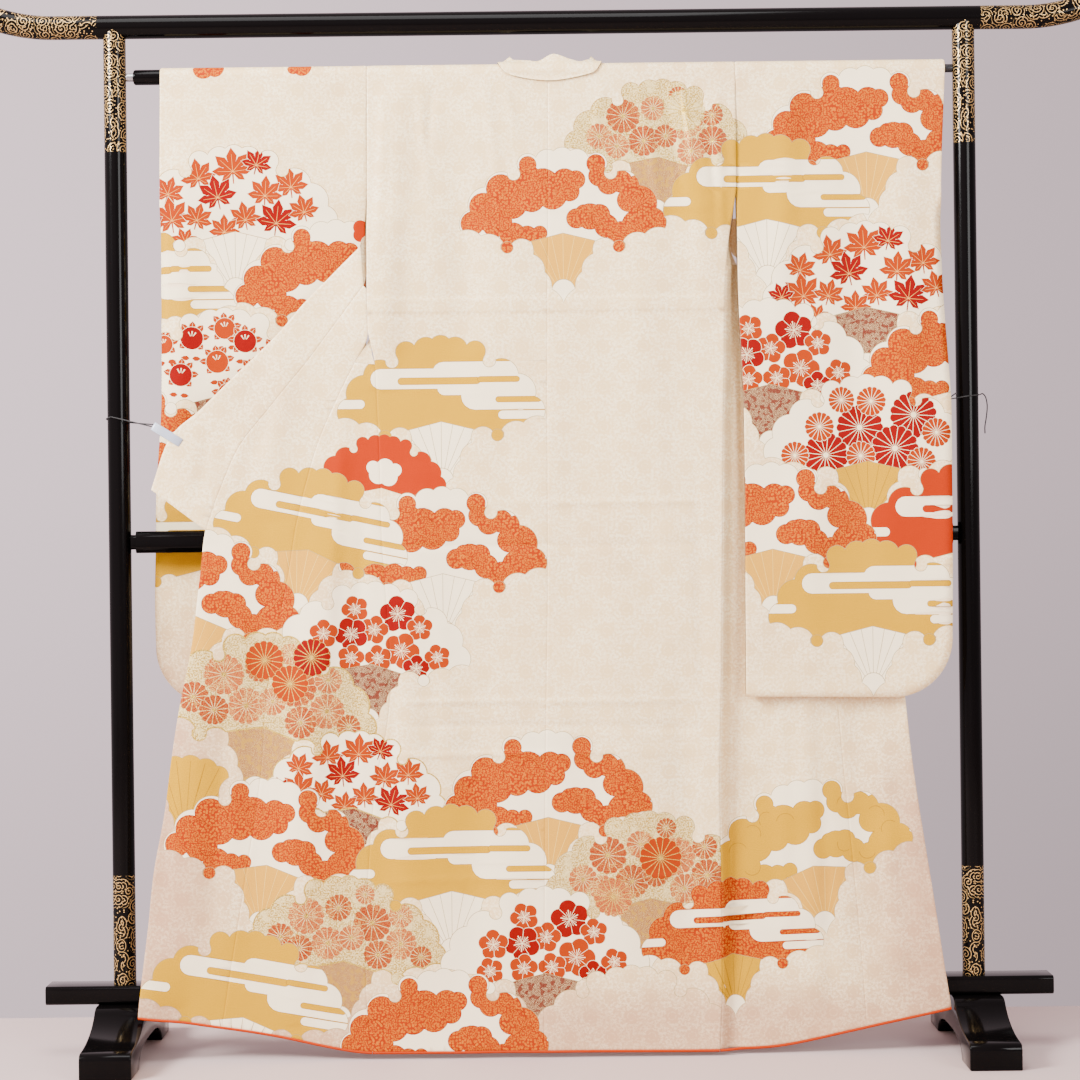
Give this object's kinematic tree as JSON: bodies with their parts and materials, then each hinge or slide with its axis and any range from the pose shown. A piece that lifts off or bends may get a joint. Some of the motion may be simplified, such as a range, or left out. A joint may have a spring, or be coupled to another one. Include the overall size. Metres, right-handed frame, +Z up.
{
  "type": "furisode kimono on kimono stand",
  "caption": "Long-sleeved silk kimono hung open over the rod of a lacquered wooden stand, its back in view and both fronts drawn out to the sides.",
  "frame": {"origin": "on the floor, midway between the two posts of the stand", "axes": "+Z up, +X to the garment's right side as its back is looked at, -Y towards the viewer of the garment's back"},
  "size_m": [1.9088, 0.41, 1.7876],
  "materials": {
    "silk": "dyed and embroidered silk damask",
    "lining": "plain silk",
    "lacquer": "black lacquer with gold sprinkled scrolls",
    "gilt": "gold lacquer",
    "pin_bright": "bright",
    "pin_dark": "dark",
    "clip": "satin",
    "elastic": "braided"
  },
  "bodies": {
    "root": {"back_left": "silk", "back_right": "silk", "clip_left": "clip", "clip_right": "clip", "collar_left": "silk", "collar_neck": "silk", "collar_right": "silk", "foot_left": "lacquer", "foot_right": "lacquer", "front_left": "silk", "front_right": "silk", "hem_roll_back": "lining", "hem_roll_left": "lining", "hem_roll_right": "lining", "okumi_left": "silk", "okumi_right": "silk", "post_left": "lacquer", "post_right": "lacquer", "rail_cap_left": "gilt", "rail_cap_right": "gilt", "rail_low": "lacquer", "rail_middle": "lacquer", "rail_top": "lacquer", "rod_hanging": "lacquer", "rod_pin_left": "pin_bright", "rod_pin_right": "pin_dark", "sleeve_left": "silk", "sleeve_right": "silk", "string_end_right": "elastic", "string_left": "elastic", "string_right": "elastic"}
  },
  "joints": []
}
